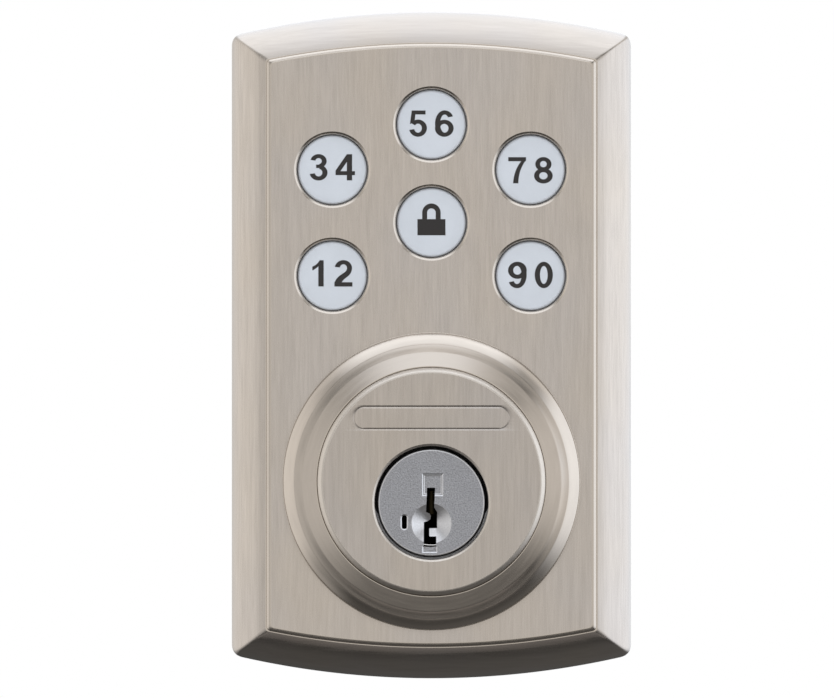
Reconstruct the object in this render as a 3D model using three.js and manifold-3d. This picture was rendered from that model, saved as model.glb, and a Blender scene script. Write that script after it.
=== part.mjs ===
// The outside half of a keypad deadbolt: a die-cast escutcheon with six push keys above a
// key cylinder, the electronics behind the keys, and the torque blade that turns the bolt.
//
// Millimetres, +Z up. The origin is on the cylinder's axis, in the plane of the door's outer
// face. The front faces -Y, so a depth d, counted out of the door, lies at y = -d.
import * as THREE from "three";
import { mergeVertices } from "three/addons/utils/BufferGeometryUtils.js";
import Module from "manifold-3d";

const wasm = await Module();
wasm.setup();

// ---------------------------------------------------------------- driving dimensions

// Escutcheon outline, seen from the front.
const WIDTH = 74.3;
const TOP = 91.2; // apex of the top arc above the cylinder axis
const BOTTOM = -32.8; // apex of the bottom arc
const ARC_RADIUS = 160;
const CORNER_RADIUS = 2.0;
const MITRE_RADIUS = 0.7; // the bevels meet at the corners in a softened mitre
const ARC_STEPS = 10;
const CORNER_STEPS = 2;

// Escutcheon depths, counted out of the door.
const GASKET_FRONT = 1.0;
const RIM = 1.2;
const SIDE_TOP = 9.6; // where the straight side ends and the bevel starts
const FACE = 19.0; // the flat front
const FACE_STEP = 0.6; // height of the step round the flat front
const BEVEL = 6.5; // width of the bevel at the sides
const END_SHARE = 0.915; // the bevel is narrower at the top and bottom
const BEVEL_FROM = 20; // degrees round a quarter ellipse, where the bevel starts and ends
const BEVEL_TO = 70;
const BEVEL_STEPS = 4;
const WALL = 2.5;
const INNER_FACE = FACE - WALL;

// Raised ring round the cylinder guard.
const RING_Z = 3.9; // the ring's centre lies above the cylinder axis
const RING_FOOT = 28.0;
const GUARD_RADIUS = 21.0;
const GUARD_FACE = 27.0;
const GUARD_GAP = 0.25;
const SEAL_SEAT = 10.4;
const COLLAR_END = 8.4;
const COLLAR_RADIUS = 23.6;

// Keys: a ring of five round a sixth.
const KEY_COLUMN = 18.4;
const KEYS = {
  key_12: [-KEY_COLUMN, 42.1],
  key_34: [-KEY_COLUMN, 61.8],
  key_56: [0, 70.2],
  key_78: [KEY_COLUMN, 61.8],
  key_90: [KEY_COLUMN, 42.1],
  key_lock: [0, 52.0],
};
const LEDS = [
  [-9.2, 65.5],
  [9.2, 65.5],
  [0, 41.5],
];
const KEY_HOLE = 6.85;
const KEY_RADIUS = 6.4;
const KEY_FACE = 18.3;
const KEY_FLANGE_RADIUS = 7.6;
const KEY_FLANGE = 1.2;
const KEY_BACK = 15.1;

// Electronics stack.
const BOARD_BACK = 10.6;
const BOARD_FRONT = 12.2;
const BOARD_X = 26;
const BOARD_Z = [33.5, 79.5];
const MAT_BACK = 13.0;
const MAT_FRONT = 14.0;
const DOME_TOP = 14.9;
const CARRIER = [8.2, 10.4];

// Fastening points: x is mirrored.
const CARRIER_BOSS = { x: 29.6, z: [38.5, 74.5], radius: 2.7, end: 10.6 };
const SHELL_BOSS = { x: 29.2, z: [-23.4, 81.6], radius: 3.0, end: 3.0 };
const CYLINDER_SCREW = { x: 12.5, z: 11.5 };
const PILOT_RADIUS = 1.5;
const SCREW_RADIUS = 1.4;
const SCREW_SIDES = 10; // screws and their holes share this, so that their flats line up

// Back plate and what goes through it.
const PLATE = [1.2, 2.7];
const POST_X = 19; // half the spacing of the through bolts
const POST_END = -8;
const DOOR_BORE = 27; // the hole in the door, which the posts and the cable pass through
const CABLE_Z = 21;
const CABLE_RADIUS = 3.2;

// Cylinder.
const BARREL_RADIUS = 13;
const BARREL_END = -9;
const BODY_RADIUS = 18.4;
const BODY_BACK = 8.2;
const BODY_FRONT = 23.5;
const PLUG_HEAD = 9.95;
const PLUG_RADIUS = 8.0;
const PLUG_FACE = 26.2;
const PLUG_STEP = 23.0;
const PLUG_END = -11;
const BLADE_RADIUS = 3.1;
const BLADE_FLAT = 1.2;
const BLADE_END = -58;
const PIN_COUNT = 5;
const PIN_PITCH = 3.81;
const FIRST_PIN = PLUG_FACE - 6.27;
const PIN_RADIUS = 1.25;
const PIN_Z = [-3.0, 2.2];
const SPRING_Z = [2.35, 6.5];
const COVER_Z = [6.65, 7.6];

const FIT = 0.1; // gap between still pieces
const RUN = 0.2; // gap between pieces that move past each other
const OVER = 1; // how far a cutter runs past the face it cuts

// ---------------------------------------------------------------- solids

// A closed three.js geometry as a solid whose faces point out.
function solid(geometry) {
  const bare = geometry.index ? geometry.toNonIndexed() : geometry.clone();
  bare.deleteAttribute("normal");
  bare.deleteAttribute("uv");
  const merged = mergeVertices(bare, 1e-4);
  const index = merged.index.array;
  const triangles = [];
  for (let i = 0; i < index.length; i += 3) {
    const [a, b, c] = [index[i], index[i + 1], index[i + 2]];
    if (a !== b && b !== c && c !== a) triangles.push(a, b, c);
  }
  const make = (list) =>
    new wasm.Manifold(
      new wasm.Mesh({
        numProp: 3,
        vertProperties: new Float32Array(merged.attributes.position.array),
        triVerts: new Uint32Array(list),
      }),
    );
  const made = make(triangles);
  return made.volume() < 0 ? make(triangles.reverse()) : made;
}

const cut = (whole, ...tools) => tools.reduce((left, tool) => left.subtract(tool), whole);
const join = (...pieces) => pieces.reduce((left, piece) => left.add(piece));

// A body turned about an axis along Y at (x, z). The profile lists [radius, depth].
function turned(profile, x = 0, z = 0, sides = 24) {
  const points = profile.map(([radius, depth]) => new THREE.Vector2(radius, -depth));
  return solid(new THREE.LatheGeometry(points, sides).translate(x, 0, z));
}

// A round bar along Y from depth d0 to d1.
const bar = (radius, d0, d1, x = 0, z = 0, sides = 24) =>
  turned([[0, d0], [radius, d0], [radius, d1], [0, d1]], x, z, sides);

// A washer or tube along Y.
const tube = (inner, outer, d0, d1, x = 0, z = 0, sides = 32) =>
  turned([[inner, d0], [outer, d0], [outer, d1], [inner, d1], [inner, d0]], x, z, sides);

// A round bar standing along Z.
function upright(radius, z0, z1, depth, sides = 12) {
  const shape = new THREE.CylinderGeometry(radius, radius, z1 - z0, sides);
  return solid(shape.rotateX(Math.PI / 2).translate(0, -depth, (z0 + z1) / 2));
}

function block([x0, x1], [d0, d1], [z0, z1]) {
  const box = new THREE.BoxGeometry(x1 - x0, d1 - d0, z1 - z0);
  return solid(box.translate((x0 + x1) / 2, -(d0 + d1) / 2, (z0 + z1) / 2));
}

// A flat outline of [x, z] points, extruded from depth d0 to d1.
function slab(points, d0, d1) {
  const shape = new THREE.Shape(points.map(([x, z]) => new THREE.Vector2(x, z)));
  const made = new THREE.ExtrudeGeometry(shape, { depth: d1 - d0, bevelEnabled: false });
  return solid(made.rotateX(Math.PI / 2).translate(0, -d0, 0));
}

// The escutcheon's outline, drawn in by `inset` at the sides and END_SHARE of it at the ends.
// Every outline has the same number of points, so that outlines can be stacked.
function outline(inset, radius = CORNER_RADIUS) {
  const half = WIDTH / 2 - inset;
  const arcRadius = ARC_RADIUS - inset;
  const sag = (x) => arcRadius - Math.sqrt(arcRadius ** 2 - x ** 2);
  const end = inset * END_SHARE;
  const quarter = [];
  for (let i = 0; i <= ARC_STEPS / 2; i++) {
    const x = ((half - radius) * i) / (ARC_STEPS / 2);
    quarter.push([x, -sag(x)]);
  }
  const corner = new THREE.QuadraticBezierCurve(
    new THREE.Vector2(half - radius, -sag(half - radius)),
    new THREE.Vector2(half, -sag(half)),
    new THREE.Vector2(half, -sag(half) - radius),
  );
  for (let i = 1; i <= CORNER_STEPS; i++) {
    quarter.push(corner.getPoint(i / CORNER_STEPS).toArray());
  }
  const right = quarter.map(([x, z]) => [x, TOP - end + z]);
  const below = quarter.map(([x, z]) => [x, BOTTOM + end - z]).reverse();
  const side = [...right, ...below];
  const left = side.slice(1, -1).map(([x, z]) => [-x, z]).reverse();
  return [...side, ...left];
}

// Outlines stacked at rising depths and closed at both ends.
function stack(levels) {
  const loops = levels.map(([depth, points]) => points.map(([x, z]) => [x, -depth, z]));
  const count = loops[0].length;
  const index = [];
  for (let level = 0; level + 1 < loops.length; level++) {
    for (let i = 0; i < count; i++) {
      const a = level * count + i;
      const b = level * count + ((i + 1) % count);
      index.push(a, b, b + count, a, b + count, a + count);
    }
  }
  const last = (loops.length - 1) * count;
  for (let i = 1; i + 1 < count; i++) {
    index.push(0, i + 1, i, last, last + i, last + i + 1);
  }
  const geometry = new THREE.BufferGeometry();
  geometry.setAttribute("position", new THREE.Float32BufferAttribute(loops.flat(2), 3));
  geometry.setIndex(index);
  return solid(geometry);
}

const mirrored = (x) => [-x, x];
const degrees = (angle) => (angle * Math.PI) / 180;

// ---------------------------------------------------------------- materials

const finish = (color, roughness, metalness) =>
  new THREE.MeshStandardMaterial({ color, roughness, metalness });
const MATERIALS = {
  satin: finish(0xaea49b, 0.35, 1),
  plugCast: finish(0x93939a, 0.5, 1),
  zinc: finish(0x8d8f93, 0.5, 1),
  steel: finish(0x9a9c9f, 0.3, 1),
  brass: finish(0xb59a52, 0.35, 1),
  keycap: finish(0xcbd0d8, 0.35, 0),
  silicone: finish(0xd8d8d4, 0.6, 0),
  rubber: finish(0x1c1c1e, 0.8, 0),
  board: finish(0x1d5a36, 0.5, 0),
  plastic: finish(0x222326, 0.5, 0),
  led: finish(0xf2f2e6, 0.3, 0),
};

const lock = new THREE.Group();

// Adds one solid to the lock as a named mesh.
function piece(name, material, body) {
  const { vertProperties, triVerts, numProp, numVert } = body.getMesh();
  const positions = new Float32Array(numVert * 3);
  for (let i = 0; i < numVert; i++) {
    positions.set(vertProperties.subarray(i * numProp, i * numProp + 3), i * 3);
  }
  const geometry = new THREE.BufferGeometry();
  geometry.setAttribute("position", new THREE.BufferAttribute(positions, 3));
  geometry.setIndex(new THREE.BufferAttribute(new Uint32Array(triVerts), 1));
  const mesh = new THREE.Mesh(geometry, MATERIALS[material]);
  mesh.name = name;
  lock.add(mesh);
}

// ---------------------------------------------------------------- escutcheon

// The outside of the shell: straight sides, a convex bevel, and a step up to the flat front.
function shellOutside() {
  const top = FACE - FACE_STEP;
  const levels = [
    [RIM, outline(0)],
    [SIDE_TOP, outline(0)],
  ];
  const from = degrees(BEVEL_FROM);
  const to = degrees(BEVEL_TO);
  const share = (value, atStart, atEnd) => (value - atStart) / (atEnd - atStart);
  for (let i = 0; i <= BEVEL_STEPS; i++) {
    const angle = from + ((to - from) * i) / BEVEL_STEPS;
    const inset = 0.3 + (BEVEL - 0.3) * share(Math.cos(angle), Math.cos(from), Math.cos(to));
    const rise = share(Math.sin(angle), Math.sin(from), Math.sin(to));
    const corner = i === 0 ? CORNER_RADIUS - 0.5 : MITRE_RADIUS;
    levels.push([SIDE_TOP + 1 + (top - SIDE_TOP - 1) * rise, outline(inset, corner)]);
  }
  levels.push([FACE - 0.15, outline(BEVEL + 0.05, MITRE_RADIUS)]);
  levels.push([FACE, outline(BEVEL + 0.25, MITRE_RADIUS)]);
  return stack(levels);
}

const shellInside = () =>
  stack([
    [RIM - OVER, outline(WALL)],
    [SIDE_TOP, outline(WALL)],
    [SIDE_TOP + 4, outline(WALL + 1.6)],
    [INNER_FACE, outline(BEVEL + 0.6)],
  ]);

// The raised ring, with its collar reaching back inside to carry the guard and its seal.
function guardRing() {
  const bore = GUARD_RADIUS + GUARD_GAP;
  return turned(
    [
      [RING_FOOT, FACE - 1],
      [RING_FOOT, FACE + 0.1],
      [27.4, FACE + 1.6],
      [26.7, FACE + 3.9],
      [25.3, FACE + 5.3],
      [24.0, FACE + 5.0],
      [bore + 0.5, FACE + 6.4],
      [bore, FACE + 6.4],
      [bore, SEAL_SEAT],
      [BODY_RADIUS + 0.4, SEAL_SEAT],
      [BODY_RADIUS + 0.4, COLLAR_END],
      [COLLAR_RADIUS, COLLAR_END],
      [COLLAR_RADIUS, FACE - 1],
      [RING_FOOT, FACE - 1],
    ],
    0,
    RING_Z,
    48,
  );
}

function escutcheon() {
  const bosses = [];
  const pilots = [];
  for (const { x: half, z: rows, radius, end } of [CARRIER_BOSS, SHELL_BOSS]) {
    for (const x of mirrored(half)) {
      for (const z of rows) {
        bosses.push(bar(radius, end, INNER_FACE + 0.5, x, z, 12));
        pilots.push(bar(PILOT_RADIUS, end - OVER, end + 5.5, x, z, SCREW_SIDES));
      }
    }
  }
  const bore = bar(RING_FOOT - 2, 0, FACE + OVER, 0, RING_Z, 48);
  const hollow = cut(shellOutside(), shellInside(), bore);
  const body = join(hollow, guardRing(), ...bosses);
  const holes = Object.values(KEYS).map(([x, z]) => bar(KEY_HOLE, 15, FACE + OVER, x, z, 28));
  piece("escutcheon_shell", "satin", cut(body, ...pilots, ...holes));
}

// ---------------------------------------------------------------- cylinder

// A groove round a plain lying slot, above the keyhole, where a name plate would be.
function nameplateGroove() {
  const [half, height, z, depth] = [12.4, 4.6, 15.7, 0.25];
  const depths = [GUARD_FACE - depth, GUARD_FACE + OVER];
  const lying = (radius) =>
    join(
      block([-half, half], depths, [z - radius, z + radius]),
      ...mirrored(half).map((x) => bar(radius, ...depths, x, z, 16)),
    );
  return cut(lying(height / 2), lying(height / 2 - 0.5));
}

function cylinderGuard() {
  const skirt = BODY_RADIUS + 0.3;
  const face = turned(
    [
      [0, GUARD_FACE],
      [GUARD_RADIUS - 0.6, GUARD_FACE],
      [GUARD_RADIUS - 0.15, GUARD_FACE - 0.2],
      [GUARD_RADIUS, GUARD_FACE - 0.7],
      [GUARD_RADIUS, SEAL_SEAT + 1.5],
      [skirt, SEAL_SEAT + 1.5],
      [skirt, BODY_FRONT + RUN],
      [0, BODY_FRONT + RUN],
    ],
    0,
    RING_Z,
    48,
  );
  const mouth = PLUG_HEAD + 0.5;
  const bore = turned(
    [
      [0, 20],
      [mouth, 20],
      [mouth, GUARD_FACE - 0.4],
      [mouth + 0.9, GUARD_FACE + 0.5],
      [0, GUARD_FACE + 0.5],
    ],
    0,
    0,
    36,
  );
  piece("cylinder_guard", "satin", cut(face, bore, nameplateGroove()));
  const sealDepths = [SEAL_SEAT + FIT, SEAL_SEAT + 1.3];
  const seal = tube(BODY_RADIUS + 0.5, GUARD_RADIUS - 0.1, ...sealDepths, 0, RING_Z, 36);
  piece("guard_seal", "rubber", seal);
}

function cylinderBody() {
  const lug = (x) => bar(3, PLATE[1] + FIT, BODY_BACK + 0.5, x, CYLINDER_SCREW.z, 14);
  const whole = join(
    bar(BODY_RADIUS, BODY_BACK, BODY_FRONT, 0, RING_Z, 36),
    bar(BARREL_RADIUS, BARREL_END, BODY_BACK + 0.5, 0, 0, 32),
    ...mirrored(CYLINDER_SCREW.x).map(lug),
  );
  const bore = bar(PLUG_RADIUS + RUN, BARREL_END - OVER, BODY_FRONT + OVER, 0, 0, 36);
  const counterbore = bar(PLUG_HEAD + 0.25, PLUG_STEP - RUN, BODY_FRONT + OVER, 0, 0, 36);
  const sidebarGroove = block([-9.4, -7], [3, 20], [-1.1, 1.1]);
  const pilot = (x) => bar(PILOT_RADIUS, 0, 10, x, CYLINDER_SCREW.z, SCREW_SIDES);
  const pilots = mirrored(CYLINDER_SCREW.x).map(pilot);
  piece("cylinder_body", "zinc", cut(whole, bore, counterbore, sidebarGroove, ...pilots));
}

// The keyway as it shows in the plug's face, from its top left corner clockwise.
const KEYWAY = [
  [-0.8, 2.75],
  [0.7, 2.75],
  [0.7, -1.3],
  [1.05, -1.7],
  [1.05, -4.7],
  [-0.25, -4.7],
  [-0.25, -6.2],
  [0.95, -6.2],
  [0.95, -7.3],
  [-1.45, -7.3],
  [-1.45, -3.5],
  [-0.1, -3.5],
  [-0.1, -1.9],
  [-0.8, -1.9],
];

const pinDepth = (i) => FIRST_PIN - i * PIN_PITCH;

function plug() {
  const whole = turned([
    [0, PLUG_END],
    [PLUG_RADIUS, PLUG_END],
    [PLUG_RADIUS, -10.3],
    [7.0, -10.3],
    [7.0, -9.3],
    [PLUG_RADIUS, -9.3],
    [PLUG_RADIUS, PLUG_STEP],
    [PLUG_HEAD, PLUG_STEP],
    [PLUG_HEAD, PLUG_FACE - 0.3],
    [PLUG_HEAD - 0.3, PLUG_FACE],
    [0, PLUG_FACE],
  ], 0, 0, 36);
  const keyway = slab(KEYWAY, 1.5, PLUG_FACE + OVER);
  const dimple = turned(
    [
      [0, PLUG_FACE - 1.2],
      [2.2, PLUG_FACE - 0.9],
      [3.8, PLUG_FACE + 0.02],
      [3.8, PLUG_FACE + OVER],
      [0, PLUG_FACE + OVER],
    ],
    0,
    -3.9,
    24,
  );
  const recess = block([-1.85, 2.05], [PLUG_FACE - 0.35, PLUG_FACE + OVER], [1.4, 5.6]);
  const toolSlot = block([-5.55, -4.6], [PLUG_FACE - 9, PLUG_FACE + OVER], [-4.9, -2.2]);
  const pinHoles = [];
  for (let i = 0; i < PIN_COUNT; i++) {
    pinHoles.push(upright(PIN_RADIUS + 0.12, PIN_Z[0] - 0.15, PLUG_RADIUS + OVER, pinDepth(i)));
  }
  const coverDepths = [pinDepth(PIN_COUNT - 1) - 2.5, FIRST_PIN + 2.5];
  const coverSlot = block([-1.9, 1.9], coverDepths, [COVER_Z[0] - FIT, PLUG_RADIUS + OVER]);
  const sidebarSlot = block([-PLUG_RADIUS - OVER, -5.9], [4, 19], [-0.9, 0.9]);
  const bladeSocket = bar(BLADE_RADIUS + FIT, PLUG_END - OVER, PLUG_END + 5, 0, 0, 24);
  const openings = [keyway, dimple, recess, toolSlot, ...pinHoles, coverSlot, sidebarSlot, bladeSocket];
  piece("plug", "plugCast", cut(whole, ...openings));
}

// A coil spring standing along Z: one closed wire of square section.
class Coil extends THREE.Curve {
  constructor(radius, z0, z1, turns, depth) {
    super();
    Object.assign(this, { radius, z0, z1, turns, depth });
  }
  getPoint(t, target = new THREE.Vector3()) {
    const angle = 2 * Math.PI * this.turns * t;
    const z = this.z0 + (this.z1 - this.z0) * t;
    return target.set(this.radius * Math.cos(angle), this.radius * Math.sin(angle) - this.depth, z);
  }
}

function pinSpring(depth) {
  const wire = 0.14;
  const turns = 3;
  const square = new THREE.Shape([
    new THREE.Vector2(-wire, -wire),
    new THREE.Vector2(wire, -wire),
    new THREE.Vector2(wire, wire),
    new THREE.Vector2(-wire, wire),
  ]);
  const path = new Coil(0.95, SPRING_Z[0] + wire * 1.5, SPRING_Z[1] - wire * 1.5, turns, depth);
  const options = { steps: turns * 7, extrudePath: path, bevelEnabled: false };
  return solid(new THREE.ExtrudeGeometry(square, options));
}

function plugWorks() {
  for (let i = 0; i < PIN_COUNT; i++) {
    piece(`tumbler_pin_${i + 1}`, "brass", upright(PIN_RADIUS, ...PIN_Z, pinDepth(i)));
    piece(`pin_spring_${i + 1}`, "steel", pinSpring(pinDepth(i)));
  }
  const coverEnds = [pinDepth(PIN_COUNT - 1) - 2.3, FIRST_PIN + 2.3];
  piece("pin_cover", "brass", block([-1.75, 1.75], coverEnds, COVER_Z));
  piece("sidebar", "steel", block([-7.8, -6.1], [4.3, 18.7], [-0.75, 0.75]));
  const ring = tube(7.1, 9.4, -10.1, -9.5, 0, 0, 32);
  piece("plug_clip", "steel", cut(ring, block([-3.2, 3.2], [-11, -9], [-11, 0])));
  const rod = bar(BLADE_RADIUS, BLADE_END, PLUG_END + 4.8, 0, 0, 24);
  const flat = block([BLADE_FLAT, 5], [BLADE_END - OVER, PLUG_END - 1.5], [-5, 5]);
  piece("torque_blade", "steel", cut(rod, flat));
}

// ---------------------------------------------------------------- keypad

function keypad() {
  const matHoles = [];
  for (const [name, [x, z]] of Object.entries(KEYS)) {
    const label = name.slice("key_".length);
    piece(
      name,
      "keycap",
      turned(
        [
          [0, KEY_BACK],
          [KEY_FLANGE_RADIUS, KEY_BACK],
          [KEY_FLANGE_RADIUS, KEY_BACK + KEY_FLANGE],
          [KEY_RADIUS, KEY_BACK + KEY_FLANGE],
          [KEY_RADIUS, KEY_FACE - 0.35],
          [KEY_RADIUS - 0.35, KEY_FACE],
          [0, KEY_FACE],
        ],
        x,
        z,
        24,
      ),
    );
    const dome = [
      [0, 13.4],
      [2.5, 13.4],
      [2.5, BOARD_FRONT + FIT],
      [4.2, BOARD_FRONT + FIT],
      [4.2, 12.9],
      [3.0, 14.1],
      [2.6, DOME_TOP],
      [0, DOME_TOP],
    ];
    piece(`return_dome_${label}`, "silicone", turned(dome, x, z, 14));
    piece(`snap_switch_${label}`, "steel", bar(2.1, BOARD_FRONT + FIT, 12.75, x, z, 10));
    matHoles.push(bar(4.7, MAT_BACK - OVER, MAT_FRONT + OVER, x, z, 14));
  }
  const mat = block([-BOARD_X, BOARD_X], [MAT_BACK, MAT_FRONT], BOARD_Z);
  piece("keypad_mat", "silicone", cut(mat, ...matHoles));
}

function electronics() {
  piece("keypad_board", "board", block([-BOARD_X, BOARD_X], [BOARD_BACK, BOARD_FRONT], BOARD_Z));
  const ledFront = BOARD_FRONT + 0.7;
  LEDS.forEach(([x, z], i) => {
    const lamp = block([x - 0.8, x + 0.8], [BOARD_FRONT + FIT, ledFront], [z - 0.8, z + 0.8]);
    piece(`backlight_led_${i + 1}`, "led", lamp);
  });
  const back = BOARD_BACK - FIT;
  piece("controller_chip", "plastic", block([-4, 4], [back - 1.2, back], [56, 64]));
  const socket = block([-13, -3], [7, back], [41.5, 46.5]);
  const mouth = block([-12, -4], [7.8, back - 0.7], [40, 45.5]);
  piece("cable_socket", "plastic", cut(socket, mouth));

  const frame = block([-BOARD_X, BOARD_X], CARRIER, BOARD_Z);
  const opening = block([-20, 20], [CARRIER[0] - OVER, CARRIER[1] + OVER], [40.5, 73]);
  const ears = CARRIER_BOSS.z.map((z) => block([-32.4, 32.4], CARRIER, [z - 3, z + 3]));
  const holes = [];
  let number = 0;
  for (const x of mirrored(CARRIER_BOSS.x)) {
    for (const z of CARRIER_BOSS.z) {
      holes.push(bar(1.7, CARRIER[0] - OVER, CARRIER[1] + OVER, x, z, SCREW_SIDES));
      number += 1;
      piece(`carrier_screw_${number}`, "steel", panScrew(CARRIER[0] - FIT, 6.2, x, z));
    }
  }
  piece("board_carrier", "plastic", cut(join(frame, ...ears), opening, ...holes));
}

// ---------------------------------------------------------------- fasteners and back

// A screw's shank from one depth to another, ending in a short point.
const shank = (from, to) => [
  [SCREW_RADIUS, from],
  [SCREW_RADIUS, to - 0.6],
  [0.7, to],
  [0, to],
];

// A pan-head screw whose head rests at depth `seat` and whose shank runs forward.
function panScrew(seat, length, x, z) {
  const head = [[0, seat - 1.3], [2.0, seat - 1.3], [2.5, seat - 0.8], [2.5, seat]];
  const whole = turned([...head, ...shank(seat, seat + length)], x, z, SCREW_SIDES);
  return cut(whole, crossRecess(seat - 1.3, x, z, 1.3));
}

// A flat-head screw, flush with the plate's back at depth `seat`.
function flatScrew(seat, length, x, z) {
  const head = [[0, seat], [2.6, seat], [2.6, seat + 0.2]];
  const whole = turned([...head, ...shank(seat + 1.3, seat + length)], x, z, SCREW_SIDES);
  return cut(whole, crossRecess(seat, x, z, 1.4));
}

function crossRecess(back, x, z, half) {
  const arm = 0.3;
  const depths = [back - OVER, back + 0.9];
  return join(
    block([x - half, x + half], depths, [z - arm, z + arm]),
    block([x - arm, x + arm], depths, [z - half, z + half]),
  );
}

function backPlate() {
  const whole = stack([
    [PLATE[0], outline(WALL + 0.2)],
    [PLATE[1], outline(WALL + 0.2)],
  ]);
  const through = (radius, x, z, sides) => bar(radius, PLATE[0] - OVER, PLATE[1] + OVER, x, z, sides);
  const countersink = (x, z) =>
    turned(
      [
        [0, 0],
        [2.75, 0],
        [2.75, PLATE[0] + 0.35],
        [PILOT_RADIUS + 0.15, PLATE[0] + 1.45],
        [PILOT_RADIUS + 0.15, 4],
        [0, 4],
      ],
      x,
      z,
      SCREW_SIDES,
    );
  const holes = [
    through(BARREL_RADIUS + RUN, 0, 0, 32),
    through(CABLE_RADIUS + 1.3, 0, CABLE_Z, 20),
    ...mirrored(POST_X).map((x) => through(3, x, 0, 16)),
  ];
  let number = 0;
  const seat = PLATE[0] + 0.05;
  for (const x of mirrored(SHELL_BOSS.x)) {
    for (const z of SHELL_BOSS.z) {
      number += 1;
      holes.push(countersink(x, z));
      piece(`shell_screw_${number}`, "steel", flatScrew(seat, 6.6, x, z));
    }
  }
  mirrored(CYLINDER_SCREW.x).forEach((x, i) => {
    holes.push(countersink(x, CYLINDER_SCREW.z));
    piece(`cylinder_screw_${i + 1}`, "steel", flatScrew(seat, 7.6, x, CYLINDER_SCREW.z));
  });
  piece("back_plate", "steel", cut(whole, ...holes));

  const tail = 2.9;
  for (const [side, x] of [["left", -POST_X], ["right", POST_X]]) {
    const profile = [
      [0, POST_END],
      [4.2, POST_END],
      [4.2, PLATE[0] - FIT],
      [tail, PLATE[0] - FIT],
      [tail, PLATE[1]],
      [0, PLATE[1]],
    ];
    const thread = bar(2.2, POST_END - OVER, 0.6, x, 0, 16);
    piece(`bolt_post_${side}`, "steel", cut(turned(profile, x, 0, 16), thread));
  }
  const [inner, neck, lip] = [CABLE_RADIUS, CABLE_RADIUS + 1.2, CABLE_RADIUS + 2.4];
  piece(
    "cable_grommet",
    "rubber",
    turned(
      [
        [inner, PLATE[0] - 1.1],
        [lip, PLATE[0] - 1.1],
        [lip, PLATE[0] - FIT],
        [neck, PLATE[0] - FIT],
        [neck, PLATE[1] + FIT],
        [lip, PLATE[1] + FIT],
        [lip, PLATE[1] + 1.1],
        [inner, PLATE[1] + 1.1],
        [inner, PLATE[0] - 1.1],
      ],
      0,
      CABLE_Z,
      20,
    ),
  );
}

// A flat rubber gasket with a round window over the door's bore.
function doorGasket() {
  const whole = stack([
    [0, outline(0.6)],
    [GASKET_FRONT, outline(0.6)],
  ]);
  const holes = [];
  for (const x of mirrored(SHELL_BOSS.x)) {
    for (const z of SHELL_BOSS.z) {
      holes.push(bar(3, -OVER, GASKET_FRONT + OVER, x, z, SCREW_SIDES));
    }
  }
  const bore = bar(DOOR_BORE + 0.6, -OVER, GASKET_FRONT + OVER, 0, 0, 40);
  piece("door_gasket", "rubber", cut(whole, bore, ...holes));
}

escutcheon();
cylinderGuard();
cylinderBody();
plug();
plugWorks();
keypad();
electronics();
backPlate();
doorGasket();

export default lock;
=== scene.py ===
import math

import bmesh
import bpy
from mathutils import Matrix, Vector
from mathutils.geometry import delaunay_2d_cdt, tessellate_polygon


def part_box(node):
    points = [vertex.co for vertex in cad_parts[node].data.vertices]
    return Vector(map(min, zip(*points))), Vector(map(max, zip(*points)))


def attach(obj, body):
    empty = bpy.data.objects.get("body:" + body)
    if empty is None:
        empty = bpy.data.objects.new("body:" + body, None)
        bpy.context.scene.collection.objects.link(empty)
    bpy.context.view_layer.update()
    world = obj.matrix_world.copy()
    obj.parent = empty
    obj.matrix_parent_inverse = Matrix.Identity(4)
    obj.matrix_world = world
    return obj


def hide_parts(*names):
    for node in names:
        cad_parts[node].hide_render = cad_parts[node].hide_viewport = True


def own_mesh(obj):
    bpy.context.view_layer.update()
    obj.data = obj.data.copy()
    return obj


# The outside half of a keypad deadbolt in satin nickel. Sizes below are in millimetres, and a
# point is (x, depth, z): the depth counts out of the door, so it lies at y = -depth.
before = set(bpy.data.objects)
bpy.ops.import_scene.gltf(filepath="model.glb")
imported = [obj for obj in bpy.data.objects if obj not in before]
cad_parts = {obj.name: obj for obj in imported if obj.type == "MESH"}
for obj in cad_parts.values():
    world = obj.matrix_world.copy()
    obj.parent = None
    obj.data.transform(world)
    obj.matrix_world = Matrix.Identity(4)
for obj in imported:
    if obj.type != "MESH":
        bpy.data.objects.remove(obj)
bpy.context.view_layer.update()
MM = 0.001


def cad(node):
    """A CAD node's corners in millimetres: (x, depth, z) lowest and highest."""
    low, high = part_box(node)
    return Vector((low.x, -high.y, low.z)) / MM, Vector((high.x, -low.y, high.z)) / MM


def centre(node):
    low, high = cad(node)
    return (low.x + high.x) / 2, (low.z + high.z) / 2


def extent(node):
    """A CAD node's box, as (low x, high x, low z, high z) and its two depths."""
    low, high = cad(node)
    return (low.x, high.x, low.z, high.z), (low.y, high.y)


def depths(node):
    return extent(node)[1]


SHELL_LOW, SHELL_HIGH = cad("escutcheon_shell")
GUARD_LOW, GUARD_HIGH = cad("cylinder_guard")
PLUG_LOW, PLUG_HIGH = cad("plug")
KEY_NAMES = ["key_12", "key_34", "key_56", "key_78", "key_90", "key_lock"]
KEY_CENTRES = {name: centre(name) for name in KEY_NAMES}

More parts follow.
